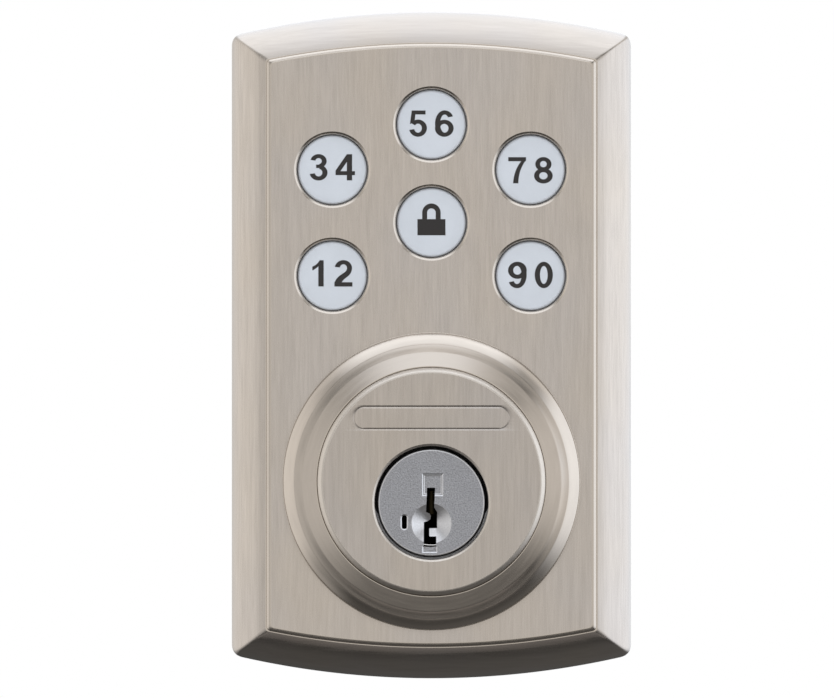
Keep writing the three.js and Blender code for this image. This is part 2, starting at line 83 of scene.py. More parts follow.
HALF = SHELL_HIGH.x
TOP, BOTTOM = SHELL_HIGH.z, SHELL_LOW.z
MIDDLE = (TOP + BOTTOM) / 2
RIM = SHELL_LOW.y
FACE = 19.0
INNER_FACE = 16.5
WALL = 2.5
ARC_RADIUS = 160.0
END_SHARE = 0.915  # the bevel is narrower at the top and bottom than at the sides
BEVEL = 6.5
STEP = 0.6  # the flat front stands this far above the bevel's inner edge
STEP_WIDTH = 0.9
RING_Z = (GUARD_LOW.z + GUARD_HIGH.z) / 2
GUARD_FACE = GUARD_HIGH.y
GUARD_BACK = GUARD_LOW.y
BORE = 21.2  # of the raised ring
GUARD_EDGE = 21.15
KEY_HOLE = 6.54
CAP_RADIUS = 6.5
KEY_FACE = cad("key_lock")[1].y
KEY_BACK = cad("key_lock")[0].y
PLUG_HEAD = PLUG_HIGH.x
PLUG_FACE = PLUG_HIGH.y
CIRCLE = 96  # sides of a round feature


# ---------------------------------------------------------------- outlines


def arc(centre_r, centre_d, radius, start, end, steps=8):
    """Points of an arc, as (radius, depth); 0 degrees points outwards and 90 to the front."""
    return bow(centre_r, centre_d, radius, radius, start, end, steps)


def bow(x, z, across, up, start, end, steps=24):
    """Points of an ellipse's arc, from one angle to another in degrees."""
    points = []
    for i in range(steps + 1):
        angle = math.radians(start + (end - start) * i / steps)
        points.append((x + across * math.cos(angle), z + up * math.sin(angle)))
    return points


def bend(start, pull, end, steps=12):
    """Points of a quadratic curve."""
    points = []
    for i in range(steps + 1):
        t = i / steps
        a, b, c = (1 - t) ** 2, 2 * t * (1 - t), t * t
        points.append(tuple(a * p + b * q + c * r for p, q, r in zip(start, pull, end)))
    return points


def soften(points, reach, steps=4, closed=True):
    """The same outline with its corners rounded."""
    result = []
    for i, corner in enumerate(points):
        if not closed and i in (0, len(points) - 1):
            result.append(tuple(corner))
            continue
        here = Vector(corner)
        before = Vector(points[i - 1]) - here
        after = Vector(points[(i + 1) % len(points)]) - here
        cut = min(reach, before.length * 0.45, after.length * 0.45)
        start, end = here + before.normalized() * cut, here + after.normalized() * cut
        result += bend(start, here, end, steps)
    return result


def sweep(start, moves, steps=8):
    """A profile that runs inwards from start, by moves of (width, first tilt, last tilt).

    A tilt of 0 degrees faces the front and 90 faces outwards. Between unequal tilts runs an arc."""
    radius, depth = start
    points = [start]
    for width, first, last in moves:
        first, last = math.radians(first), math.radians(last)
        if first == last:
            radius, depth = radius - width, depth + width * math.tan(first)
            points.append((radius, depth))
            continue
        bend_radius = width / abs(math.sin(first) - math.sin(last))
        for i in range(1, steps + 1):
            tilt = first + (last - first) * i / steps
            across = bend_radius * abs(math.sin(first) - math.sin(tilt))
            up = bend_radius * abs(math.cos(first) - math.cos(tilt))
            points.append((radius - across, depth + up))
        radius, depth = points[-1]
    return points


def rim(hole, depth, moves):
    """The eased edge of a hole, from the face to the hole's wall, by moves from the wall up."""
    down = sweep((hole, 0), moves, 10)
    drop = down[-1][1]
    return [(2 * hole - r, depth - drop + d) for r, d in reversed(down)]


def rectangle(low_x, high_x, low_z, high_z, reach=0.0):
    corners = [(low_x, low_z), (high_x, low_z), (high_x, high_z), (low_x, high_z)]
    return soften(corners, reach) if reach else corners


def ribbon(points, width):
    """The outline of a stroke along points, with flat ends."""
    left, right = [], []
    for i, point in enumerate(points):
        here = Vector(point)
        ahead = Vector(points[min(i + 1, len(points) - 1)]) - Vector(points[max(i - 1, 0)])
        side = Vector((-ahead.y, ahead.x)).normalized() * width / 2
        left.append(tuple(here + side))
        right.append(tuple(here - side))
    return left + right[::-1]


def eased_wall(place, low, high, edge):
    """A wall between two depths with small bevels at its ends, as (place, depth)."""
    return [(place + edge, low), (place, low + edge), (place, high - edge), (place + edge, high)]


def circle(radius, depth, x=0.0, z=0.0, sides=CIRCLE):
    angles = [2 * math.pi / sides * i for i in range(sides)]
    return [(x + radius * math.sin(a), depth, z + radius * math.cos(a)) for a in angles]


def at_depth(outline, depth):
    return [(x, depth, z) for x, z in outline]


# ---------------------------------------------------------------- mesh building


class Build:
    """Gathers faces for one mesh, each with a material number."""

    def __init__(self):
        self.mesh = bmesh.new()

    def vertices(self, points):
        return [self.mesh.verts.new((x * MM, -depth * MM, z * MM)) for x, depth, z in points]

    def face(self, corners, material):
        made = self.mesh.faces.new(corners)
        made.material_index = material
        return made

    def skin(self, loops, material=0, close=False):
        """Quads between each loop and the next, and from the last to the first if close.

        material is one number, a list with one for each band, or a function of the place."""
        rows = [self.vertices(loop) for loop in loops]
        if close:
            rows.append(rows[0])
        for band, (lower, upper) in enumerate(zip(rows, rows[1:])):
            count = len(lower)
            for i in range(count):
                j = (i + 1) % count
                which = material
                if callable(material):
                    which = material(lower[i].co)
                elif isinstance(material, list):
                    which = material[band]
                self.face((lower[i], lower[j], upper[j], upper[i]), which)

    def lathe(self, profile, x=0.0, z=0.0, material=0, sides=CIRCLE, close=False):
        self.skin([circle(r, d, x, z, sides) for r, d in profile], material, close)

    def bore(self, profile, x=0.0, z=0.0, material=0, sides=CIRCLE):
        """A hole's wall. Returns its two edges, which are holes in the faces at its ends."""
        self.lathe(profile, x, z, material, sides)
        return [circle(r, d, x, z, sides) for r, d in (profile[0], profile[-1])]

    def upright(self, profile, x, depth, sides=32):
        """A round body standing along Z, from (radius, z) points."""
        loops = []
        for radius, z in profile:
            loops.append([(px, depth + pz, z) for px, _, pz in circle(radius, 0, x, 0, sides)])
        self.skin(loops)

    def flat(self, outer, holes=(), material=0):
        """A flat face at one depth, with holes."""
        loops = [outer, *holes]
        corners = self.vertices([point for loop in loops for point in loop])
        outline = [[Vector((p[0], p[2], 0)) for p in loop] for loop in loops]
        for triangle in tessellate_polygon(outline):
            self.face([corners[i] for i in triangle], material)

    def faces(self, first, last, bores):
        """Flat faces at two depths, with the same bores through both."""
        for outer, holes in zip((first, last), zip(*bores)):
            self.flat(outer, holes)

    def tube(self, loops):
        """A closed solid whose end loops are single faces."""
        self.skin(loops)
        for loop in (loops[0], loops[-1]):
            self.face(self.vertices(loop), 0)

    def loft(self, loops, material=0):
        """A closed solid through loops of points."""
        self.skin(loops, material)
        ends = material if isinstance(material, list) else [material]
        self.flat(loops[0], material=ends[0])
        self.flat(loops[-1], material=ends[-1])

    def prism(self, outer, ends, holes=(), material=0):
        """A flat outline of (x, z) points, made solid between two depths."""
        for depth in ends:
            self.flat(at_depth(outer, depth), [at_depth(hole, depth) for hole in holes], material)
        for loop in (outer, *holes):
            self.skin([at_depth(loop, depth) for depth in ends], material)

    def stamp(self, shapes, ends, material=0):
        """Flat shapes of (x, z) points, joined where they overlap, made solid between two depths."""
        corners, loops = [], []
        for shape in shapes:
            area = sum(a[0] * b[1] - b[0] * a[1] for a, b in zip(shape, shape[1:] + shape[:1]))
            loops.append(range(len(corners), len(corners) + len(shape)))
            corners += [Vector(point) for point in (shape if area > 0 else shape[::-1])]
        points, _, faces, _, _, sources = delaunay_2d_cdt(corners, [], loops, 1, 1e-6)
        kept = [tuple(face) for face, source in zip(faces, sources) if source]
        sides = {pair for face in kept for pair in zip(face, face[1:] + face[:1])}
        back, front = (self.vertices([(p.x, depth, p.y) for p in points]) for depth in ends)
        for row in (back, front):
            for face in kept:
                self.face([row[i] for i in face], material)
        for a, b in sorted(sides):
            if (b, a) not in sides:
                self.face((back[a], back[b], front[b], front[a]), material)

    def object(self, name, materials, sharp=32.0):
        """The finished piece, welded and with smooth faces."""
        bmesh.ops.remove_doubles(self.mesh, verts=self.mesh.verts, dist=1e-7)
        bmesh.ops.dissolve_degenerate(self.mesh, edges=self.mesh.edges, dist=1e-8)
        loose = [vertex for vertex in self.mesh.verts if not vertex.link_faces]
        bmesh.ops.delete(self.mesh, geom=loose, context="VERTS")
        bmesh.ops.recalc_face_normals(self.mesh, faces=self.mesh.faces)
        mesh = bpy.data.meshes.new(name)
        self.mesh.to_mesh(mesh)
        self.mesh.free()
        for material in materials:
            mesh.materials.append(material)
        crease(mesh, sharp)
        made = bpy.data.objects.new(name, mesh)
        bpy.context.scene.collection.objects.link(made)
        return made


def crease(mesh, sharp=32.0):
    """Smooth faces, with creases where two meet at over `sharp` degrees."""
    work = bmesh.new()
    work.from_mesh(mesh)
    for face in work.faces:
        face.smooth = True
    for edge in work.edges:
        edge.smooth = edge.is_manifold and edge.calc_face_angle(0.0) < math.radians(sharp)
    work.to_mesh(mesh)
    work.free()


def bake(piece):
    """Applies the piece's modifiers."""
    bpy.context.view_layer.update()
    shape = piece.evaluated_get(bpy.context.evaluated_depsgraph_get())
    mesh = bpy.data.meshes.new_from_object(shape)
    mesh.name = piece.name
    piece.modifiers.clear()
    piece.data = mesh


def carve(piece, *tools, operation="DIFFERENCE"):
    """Cuts the tools out of the piece, or joins them to it, and uses them up."""
    for tool in tools:
        modifier = piece.modifiers.new("carve", "BOOLEAN")
        modifier.operation = operation
        modifier.solver = "EXACT"
        modifier.object = tool
    bake(piece)
    for tool in tools:
        bpy.data.objects.remove(tool)
    crease(piece.data)
    return piece


def soft_edges(piece, width, segments=3):
    """Rounds the piece's sharp edges."""
    modifier = piece.modifiers.new("soft_edges", "BEVEL")
    modifier.width = width * MM
    modifier.segments = segments
    modifier.limit_method = "ANGLE"
    modifier.angle_limit = math.radians(40)
    bake(piece)
    crease(piece.data)
    return piece


def bar(sides, ends, materials, name="tool"):
    """A block between two depths; sides are (low x, high x, low z, high z)."""
    build = Build()
    build.prism(rectangle(*sides), ends)
    return build.object(name, materials)


def peg(radius, ends, materials, x=0.0, z=0.0, sides=CIRCLE, reach=0.0):
    """A round block between two depths, with its corners rounded by reach."""
    first, last = ends
    profile = [(0, first), (radius, first), (radius, last), (0, last)]
    build = Build()
    build.lathe(soften(profile, reach, 4, closed=False) if reach else profile, x, z, sides=sides)
    return build.object("tool", materials)


def place(piece, body, slot, *nodes):
    """The piece stands for these CAD nodes and moves with that body."""
    modifier = piece.modifiers.new("normals", "WEIGHTED_NORMAL")
    modifier.keep_sharp = True
    bake(piece)
    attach(piece, body)
    if nodes:
        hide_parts(*nodes)
    return piece


# ---------------------------------------------------------------- materials


class Nodes:
    """Short calls that add nodes to a node tree."""

    def __init__(self, tree):
        self.nodes = tree.nodes
        self.links = tree.links

    def feed(self, socket, value):
        """Sets a node's input to a value, or links it to another node's output."""
        if isinstance(value, bpy.types.NodeSocket):
            self.links.new(value, socket)
        else:
            socket.default_value = value

    def math(self, operation, *values):
        node = self.nodes.new("ShaderNodeMath")
        node.operation = operation
        for socket, value in zip(node.inputs, values):
            self.feed(socket, value)
        return node.outputs["Value"]

    def vector_math(self, operation, first, second=None):
        node = self.nodes.new("ShaderNodeVectorMath")
        node.operation = operation
        self.feed(node.inputs[0], first)
        if second is not None:
            self.feed(node.inputs["Scale" if operation == "SCALE" else 1], second)
        return node.outputs["Value" if operation == "LENGTH" else "Vector"]

    def split(self, vector):
        node = self.nodes.new("ShaderNodeSeparateXYZ")
        self.feed(node.inputs[0], vector)
        return node.outputs

    def ramp(self, source, start, end, low, high, curve="SMOOTHSTEP"):
        """Low before start, high after end, and a smooth change between them."""
        node = self.nodes.new("ShaderNodeMapRange")
        node.interpolation_type = curve
        names = ("Value", "From Min", "From Max", "To Min", "To Max")
        for name, value in zip(names, (source, start, end, low, high)):
            self.feed(node.inputs[name], value)
        return node.outputs["Result"]

    def mix(self, factor, first, second):
        """A colour between two, which are values or outputs."""
        node = self.nodes.new("ShaderNodeMix")
        node.data_type = "RGBA"
        self.feed(node.inputs["Factor"], factor)
        colors = [socket for socket in node.inputs if socket.type == "RGBA"]
        for socket, value in zip(colors, (first, second)):
            self.feed(socket, (*value, 1) if isinstance(value, tuple) else value)
        return next(socket for socket in node.outputs if socket.type == "RGBA")


class Shader(Nodes):
    """A material with a Principled shader."""

    def __init__(self, name, roughness, metallic=0.0):
        self.material = bpy.data.materials.new(name)
        self.material.use_nodes = True
        super().__init__(self.material.node_tree)
        self.inputs = self.nodes["Principled BSDF"].inputs
        self.inputs["Roughness"].default_value = roughness
        self.inputs["Metallic"].default_value = metallic
        self.where = self.nodes.new("ShaderNodeTexCoord").outputs["Object"]

    def noise(self, size, detail=2.0, where=None):
        """Noise whose grain is `size` millimetres along each axis."""
        mapping = self.nodes.new("ShaderNodeMapping")
        mapping.inputs["Scale"].default_value = [1 / (s * MM) for s in size]
        self.feed(mapping.inputs["Vector"], where or self.where)
        noise = self.nodes.new("ShaderNodeTexNoise")
        noise.inputs["Scale"].default_value = 1.0
        noise.inputs["Detail"].default_value = detail
        self.feed(noise.inputs["Vector"], mapping.outputs["Vector"])
        return noise.outputs["Fac"]

    def spread(self, source, low, high):
        """Stretches the middle of a noise to run from low to high."""
        return self.ramp(source, 0.25, 0.75, low, high, "LINEAR")

    def shade(self, color, *factors):
        """The base colour, a value or an output, times each factor."""
        value = factors[0]
        for factor in factors[1:]:
            value = self.math("MULTIPLY", value, factor)
        self.feed(self.inputs["Base Color"], self.vector_math("SCALE", color, value))

    def vary(self, source, low, high):
        self.feed(self.inputs["Roughness"], self.spread(source, low, high))

    def bump(self, height, distance):
        node = self.nodes.new("ShaderNodeBump")
        node.inputs["Distance"].default_value = distance * MM
        self.feed(node.inputs["Height"], height)
        self.feed(self.inputs["Normal"], node.outputs["Normal"])


NICKEL_WARM = (0.478, 0.430, 0.380)
NICKEL_COOL = (0.462, 0.426, 0.396)


def brushed(name, grain, roughness, contrast, tone=1.0):
    """Satin nickel. grain is the size of a brush mark along X, Y and Z, in millimetres."""
    made = Shader(name, roughness, 1.0)
    marks = made.noise(grain)
    long_marks = made.noise([size * 2.2 for size in grain], detail=1.0)
    cloud = made.noise([14, 14, 24], detail=1.0)
    color = made.mix(made.spread(cloud, 0.0, 1.0), NICKEL_WARM, NICKEL_COOL)
    fine = made.spread(marks, tone * (1 - contrast), tone * (1 + contrast))
    broad = made.spread(long_marks, 1 - contrast / 2, 1 + contrast / 2)
    made.shade(color, fine, broad)
    made.vary(marks, roughness - 0.04, roughness + 0.04)
    made.bump(marks, 0.004)
    return made.material


def turned_nickel(name):
    """Satin nickel brushed round the ring's axis: marks follow circles about it."""
    made = Shader(name, 0.2, 1.0)
    offset = made.vector_math("SUBTRACT", made.where, (0, 0, RING_Z * MM))
    x, _, z = made.split(offset)
    polar = made.nodes.new("ShaderNodeCombineXYZ")
    made.feed(polar.inputs["X"], made.vector_math("LENGTH", offset))
    made.feed(polar.inputs["Y"], made.math("MULTIPLY", made.math("ARCTAN2", z, x), 25 * MM))
    marks = made.noise([0.28, 7, 1], where=polar.outputs["Vector"])
    made.shade(tuple(1.04 * channel for channel in NICKEL_WARM), made.spread(marks, 0.95, 1.05))
    made.vary(marks, 0.17, 0.24)
    made.bump(marks, 0.002)
    return made.material


def speckled(name, color, grain, depth, variation, roughness, metallic=0.0):
    """Cast, moulded or printed surfaces: a fine even grain in colour and in height."""
    made = Shader(name, roughness, metallic)
    fine = made.noise([grain] * 3, detail=3.0)
    broad = made.noise([grain * 14] * 3)
    made.shade(color, made.spread(fine, 1 - variation, 1 + variation), made.spread(broad, 0.97, 1.03))
    made.vary(fine, roughness - 0.05, roughness + 0.05)
    made.bump(fine, depth)
    return made.material


FRONT_NICKEL = brushed("nickel_brushed_upright", [0.34, 0.34, 6.0], 0.28, 0.085)
END_NICKEL = brushed("nickel_brushed_across", [9.0, 0.5, 0.42], 0.22, 0.05, 0.91)
DISC_NICKEL = brushed("nickel_brushed_disc", [0.34, 0.34, 6.0], 0.28, 0.085, 0.92)
EDGE_NICKEL = speckled("nickel_edge", NICKEL_WARM, 0.8, 0.001, 0.02, 0.2, 1.0)
# Nickel lighter than the disc's face: a painted highlight on the disc's rounded edge, its sides and
# its mouth's rim.
DISC_EDGE_PAINTED_HIGHLIGHT = speckled("nickel_disc_edge_painted_highlight", (0.56, 0.515, 0.465), 0.8, 0.001, 0.02, 0.42, 1.0)
RING_NICKEL = turned_nickel("nickel_turned")
CAST_FACE = speckled("plug_cast_zinc", (0.325, 0.327, 0.345), 0.27, 0.09, 0.34, 0.42, 0.8)
# Zinc lighter than the cast face: a painted highlight on the plug's front rim, on the chamfers of its
# recess, pocket and tool slot, in the key dimple and on the ward.
ZINC_PAINTED_HIGHLIGHT = speckled("plug_zinc_painted_highlight", (0.55, 0.55, 0.565), 0.3, 0.02, 0.12, 0.36, 1.0)
CAST_ZINC = speckled("cast_zinc", (0.42, 0.42, 0.43), 0.5, 0.02, 0.08, 0.45, 1.0)
STEEL = speckled("zinc_plated_steel", (0.50, 0.50, 0.49), 0.6, 0.004, 0.05, 0.3, 1.0)
# Brass darkened nearly to black for the tumbler pins: painted shade, so the pins seen down the keyway
# read as dark as its shadow.
PIN_BRASS_PAINTED_SHADE = speckled("brass_painted_shade", (0.05, 0.038, 0.02), 0.4, 0.006, 0.2, 0.5, 1.0)
BRIGHT_BRASS = speckled("machined_brass", (0.60, 0.43, 0.16), 0.4, 0.004, 0.05, 0.28, 1.0)
CAP = speckled("keycap_white", (0.555, 0.585, 0.63), 0.35, 0.0015, 0.01, 0.42)
LEGEND = speckled("legend_ink", (0.013, 0.010, 0.0095), 0.3, 0.002, 0.1, 0.5)
SILICONE = speckled("silicone", (0.55, 0.55, 0.53), 0.6, 0.01, 0.04, 0.5)
RUBBER = speckled("black_rubber", (0.014, 0.014, 0.015), 0.3, 0.02, 0.25, 0.7)
BOARD = speckled("green_board", (0.012, 0.10, 0.04), 0.8, 0.004, 0.12, 0.35)
PLASTIC = speckled("black_plastic", (0.016, 0.017, 0.019), 0.4, 0.01, 0.2, 0.45)
LED = speckled("led_lens", (0.80, 0.80, 0.72), 0.5, 0.004, 0.03, 0.2)
# Near-black painted shade: the walls of the keyway and tool slot, the wall of the disc's mouth and the
# housing face behind the plug, where the real parts lie in shadow.
PAINTED_SHADE_BLACK = speckled("keyway_shadow", (0.010, 0.010, 0.009), 0.4, 0.01, 0.2, 0.8)

# ---------------------------------------------------------------- escutcheon


def outline(inset, corner, depth, arc_steps=56, side_steps=6, corner_steps=8):
    """The cover's outline, drawn in by inset at the sides and END_SHARE of it at the ends."""
    half = HALF - inset
    radius = ARC_RADIUS - inset

    def sag(x):
        return radius - math.sqrt(radius * radius - x * x)

    quarter = []
    for i in range(arc_steps // 2 + 1):
        x = (half - corner) * i / (arc_steps // 2)
        quarter.append((x, -sag(x)))
    tip = (half, -sag(half))
    quarter += bend(quarter[-1], tip, (half, tip[1] - corner), corner_steps)[1:]
    trim = inset * END_SHARE
    right = [(x, TOP - trim + z) for x, z in quarter]
    below = [(x, BOTTOM + trim - z) for x, z in reversed(quarter)]
    upper, lower = right[-1], below[0]
    straight = []
    for i in range(1, side_steps):
        straight.append((upper[0], upper[1] + (lower[1] - upper[1]) * i / side_steps))
    side = right + straight + below
    left = [(-x, z) for x, z in reversed(side[1:-1])]
    return at_depth(side + left, depth)


def bevel_levels():
    """(inset, corner radius, depth) from the rim up the side, over the bevel, to the flat front."""
    levels = [(WALL, 0.8, RIM), (0.35, 1.7, RIM), (0.1, 1.9, RIM + 0.1), (0.0, 2.0, RIM + 0.35)]
    ledge = 0.22
    top = sweep((0, 0), [(5.1, 90, 27.5), (BEVEL - 5.1 - ledge, 27.5, 25), (ledge, 0, 0)], 24)
    foot = FACE - STEP - top[-1][1]
    levels.append((0.0, 2.0, foot - 3.0))
    for across, up in top:
        corner = 0.7 + 1.3 * max(0.0, 1 + across / 1.6) ** 2
        levels.append((-across, corner, foot + up))
    tilt = 2 * math.degrees(math.atan2(STEP, STEP_WIDTH))
    radius = STEP_WIDTH / math.sin(math.radians(tilt))
    start = BEVEL + STEP_WIDTH
    for x, depth in bow(start, FACE - radius, radius, radius, 90 + tilt, 90, 10):
        levels.append((x, 0.85, depth))
    return levels


def at_the_ends(co):
    """Material 1, brushed across, on the top and bottom bevels; 3 on the step; 0 elsewhere."""
    x, depth, z = abs(co.x) / MM, -co.y / MM, co.z / MM
    if depth > FACE - STEP - 0.01:
        return 3
    if depth < RIM + 1:
        return 0
    sag = ARC_RADIUS - math.sqrt(ARC_RADIUS**2 - x * x)
    from_end = (TOP - BOTTOM) / 2 - sag - abs(z - MIDDLE)
    return 1 if from_end / END_SHARE < HALF - x else 0


def ring_profile():
    """The raised ring: a steep wall, a rounded bead, a shallow cove, and a cone up to the bore."""
    foot = (27.68, FACE)
    wall = [(0.1, 0, 88), (0.07, 88, 88), (0.14, 88, 48)]
    top = [(1.8, 48, 28), (0.15, 28, 19), (1.2, 19, 25), (0.3, 25, 17), (2.42, 17, 17), (0.18, 17, 0)]
    profile = sweep(foot, wall + top, 10)
    lip, depth = profile[-1]
    round_ = lip - BORE
    return profile + arc(lip, depth - round_, round_, 90, 180, 6)[1:]


def escutcheon():
    build = Build()
    levels = bevel_levels()
    build.skin([outline(*level) for level in levels], at_the_ends)
    inner = [(0, RIM), (0, 9.6), (1.6, 13.6), (BEVEL + 0.6 - WALL, INNER_FACE)]
    inner = [(WALL + inset, 0.8, depth) for inset, depth in inner]
    build.skin([outline(*level) for level in inner])
    seat = depths("guard_seal")[0] - 0.1
    collar_end, collar, throat = 8.4, 23.6, cad("cylinder_body")[1].x + 0.4
    profile = ring_profile()
    profile += [(BORE, seat), (throat, seat), (throat, collar_end)]
    profile += [(collar, collar_end), (collar, INNER_FACE)]
    key_hole = rim(KEY_HOLE, FACE, [(0.32, 90, 36), (0.24, 36, 34)]) + [(KEY_HOLE, INNER_FACE)]
    bores = [build.bore(key_hole, x, z, 3) for x, z in KEY_CENTRES.values()]
    bores.append(build.bore(profile, 0, RING_Z, 2, 2 * CIRCLE))
    build.faces(outline(*levels[-1]), outline(*inner[-1]), bores)
    hole, inside = 1.5, INNER_FACE + 0.5
    for node, radius, end in [("carrier_screw", 2.7, 10.6), ("shell_screw", 3.0, 3.0)]:
        for number in range(1, 5):
            boss = [(0, end + 5.5), (hole, end + 5.5), (hole, end + 0.3), (hole + 0.3, end)]
            boss += [(radius - 0.2, end), (radius, end + 0.2), (radius, inside), (0, inside)]
            build.lathe(boss, *centre(f"{node}_{number}"), sides=40)
    shell = build.object("cover_shell", [FRONT_NICKEL, END_NICKEL, RING_NICKEL, EDGE_NICKEL])
    place(shell, "housing", "satin_nickel", "escutcheon_shell")


# ---------------------------------------------------------------- cylinder guard


def lying_slot(half, radius, z):
    """A lying slot with round ends, as (x, z) points."""
    return bow(half, z, radius, radius, 90, -90) + bow(-half, z, radius, radius, 270, 90)


def guard():
    """The brushed disc, with a plain engraved border where a name plate would be."""
    build = Build()
    mouth = PLUG_HEAD + 0.58
    inside = cad("cylinder_body")[1].x + 0.3
    under = cad("cylinder_body")[1].y + 0.2
    rise = sweep((GUARD_EDGE, 0), [(0.15, 90, 58), (0.4, 58, 46), (0.45, 46, 4)])
    drop = GUARD_FACE - rise[-1][1]
    outer = [(radius, drop + depth) for radius, depth in reversed(rise)]
    outer += [(GUARD_EDGE, GUARD_BACK), (inside, GUARD_BACK), (inside, under)]
    # Material 1, the lighter nickel, paints a highlight along the disc's rounded edge and its mouth's
    # rim.
    build.lathe(outer, 0, RING_Z, 1, 2 * CIRCLE)
    mouth_rim = rim(mouth, GUARD_FACE, [(0.15, 90, 39), (0.28, 39, 37)])
    build.lathe(mouth_rim, material=1)
    # The mouth's wall is near-black painted shade, so the gap round the plug reads as shadowed.
    build.lathe([mouth_rim[-1], (mouth, under)], material=2)
    half, radius, z, width, deep = 12.4, 2.3, 15.7, 0.5, 0.13
    borders = [at_depth(lying_slot(half, r, z), GUARD_FACE) for r in (radius, radius - width)]
    bottom = at_depth(lying_slot(half, radius - width / 2, z), GUARD_FACE - deep)
    for border in borders:
        build.skin([border, bottom])
    build.flat(borders[1])
    holes = [circle(mouth_rim[0][0], GUARD_FACE), borders[0]]
    build.flat(circle(outer[0][0], GUARD_FACE, 0, RING_Z, 2 * CIRCLE), holes)
    build.flat(circle(inside, under, 0, RING_Z, 2 * CIRCLE), [circle(mouth, under)])
    disc = build.object("guard_disc", [DISC_NICKEL, DISC_EDGE_PAINTED_HIGHLIGHT, PAINTED_SHADE_BLACK], 29)
    place(disc, "housing", "satin_nickel", "cylinder_guard")


# ---------------------------------------------------------------- plug


KEYWAY = [
    (-0.82, 2.8), (0.68, 2.8), (0.52, -0.9), (1.05, -1.7), (1.05, -4.7), (-0.32, -4.75),
    (-0.32, -6.25), (0.9, -6.25), (0.9, -8.0), (-0.3, -8.25), (-1.45, -8.0), (-1.4, -3.6),
    (-0.75, -3.45), (-0.2, -3.1), (-0.1, -2.5), (-0.35, -2.0), (-1.0, -1.75),
]


def plug():
    """The cast plug: rim, key dimple, keyway with its wards, square recess and tool slot."""
    back = PLUG_LOW.y
    barrel, step = 8.0, 23.0
    build = Build()
    profile = [(0, back), (barrel, back), (barrel, -10.3), (7.0, -10.3), (7.0, -9.3), (barrel, -9.3)]
    profile += [(barrel, step), (PLUG_HEAD, step), (PLUG_HEAD, PLUG_FACE), (0, PLUG_FACE)]
    profile = soften(profile, 0.35, 5, closed=False)

    # The front of the rim takes material 2, the lighter zinc of the painted highlight.
    def painted_highlight_edge(co):
        return 2 if PLUG_FACE - 0.5 < -co.y / MM < PLUG_FACE - 0.001 else 0

    build.lathe(profile, material=painted_highlight_edge)
    materials = [CAST_FACE, PAINTED_SHADE_BLACK, ZINC_PAINTED_HIGHLIGHT]
    body = build.object("plug_core", materials)

    def tool(levels, material):
        """A cutter through outlines at depths below the plug's face."""
        cutter = Build()
        cutter.loft([at_depth(shape, PLUG_FACE - down) for shape, down in levels], material)
        return cutter.object("tool", materials)

    def sunk(low_x, high_x, low_z, high_z, deep, steps):
        """A sunk rectangle whose sides fall in steps of (distance out, depth, material)."""
        levels = [(rectangle(low_x, high_x, low_z, high_z), deep)]
        for out, down, _ in steps:
            levels.append((rectangle(low_x - out, high_x + out, low_z - out, high_z + out), down))
        return tool(levels, [material for _, _, material in steps])

    # Material 2 on the dimple, on the steps below and on the ward is the lighter zinc of the painted
    # highlight.
    dimple = Build()
    cone = [(0, PLUG_FACE - 2.0), (3.65, PLUG_FACE - 0.04), (3.9, PLUG_FACE + 0.1)]
    dimple.lathe([*cone, (3.9, PLUG_FACE + 1), (0, PLUG_FACE + 1)], 0, -3.84, 2)
    # The walls of the keyway and the tool slot take material 1, near-black painted shade.
    keyway = tool([(KEYWAY, 24.7), (KEYWAY, 2.6), (KEYWAY, -1)], [1, 1])
    steps = [(0.0, 0.24, 0), (0.18, 0.13, 2), (0.3, 0.13, 0), (0.48, 0.0, 2), (4.2, -1.0, 0)]
    recess = sunk(-1.25, 1.7, 1.7, 4.95, 0.27, steps)
    steps = [(0.0, 0.12, 0), (0.18, 0.0, 2), (1.6, -1.0, 0)]
    pocket = sunk(-1.52, 0.9, -9.12, -8.2, 0.15, steps)
    levels = []
    for radius, down in ((0.48, 9), (0.48, 0.14), (0.7, 0), (1.5, -1)):
        upright = [(across - 5.03, along - 3.6) for along, across in lying_slot(0.8, radius, 0)]
        levels.append((upright, down))
    tool_slot = tool(levels, [1, 2, 2])
    tools = [dimple.object("tool", materials), keyway, recess, pocket, tool_slot]
    beds = [("pin_cover", (-1.85, 1.85, 6.5, 9.0), 0.2), ("sidebar", (-9.0, -5.9, -0.9, 0.9), 0.3)]
    for node, sides, spare in beds:
        first, last = depths(node)
        tools.append(bar(sides, (first - spare, last + spare), materials))
    tools.append(peg(3.2, (back - 1, back + 5), materials, sides=48))
    for number in range(1, 6):
        hole = Build()
        x, depth = plug_axis(number)
        hole.upright([(0, -3.1), (1.4, -3.1), (1.4, 6.8), (0, 6.8)], x, depth)
        tools.append(hole.object("tool", materials))
    core = carve(body, *tools)
    ward = Build()
    ward.loft([at_depth(rectangle(-0.4, 0.9, -6.22, -4.78), PLUG_FACE - 4)] + [ward_front()], [2])
    place(core, "plug", "plug_zinc", "plug")
    place(ward.object("ward", materials), "plug", "plug_zinc")


def ward_front():
    """The front of the block that stands in the keyway, leaning back towards the top."""
    lower, upper = PLUG_FACE - 0.75, PLUG_FACE - 1.3
    return [(-0.4, lower, -6.22), (0.9, lower, -6.22), (0.9, upper, -4.78), (-0.4, upper, -4.78)]


def plug_axis(number):
    """Where a tumbler pin stands: x and depth."""
    low, high = cad(f"tumbler_pin_{number}")
    return (low.x + high.x) / 2, (low.y + high.y) / 2


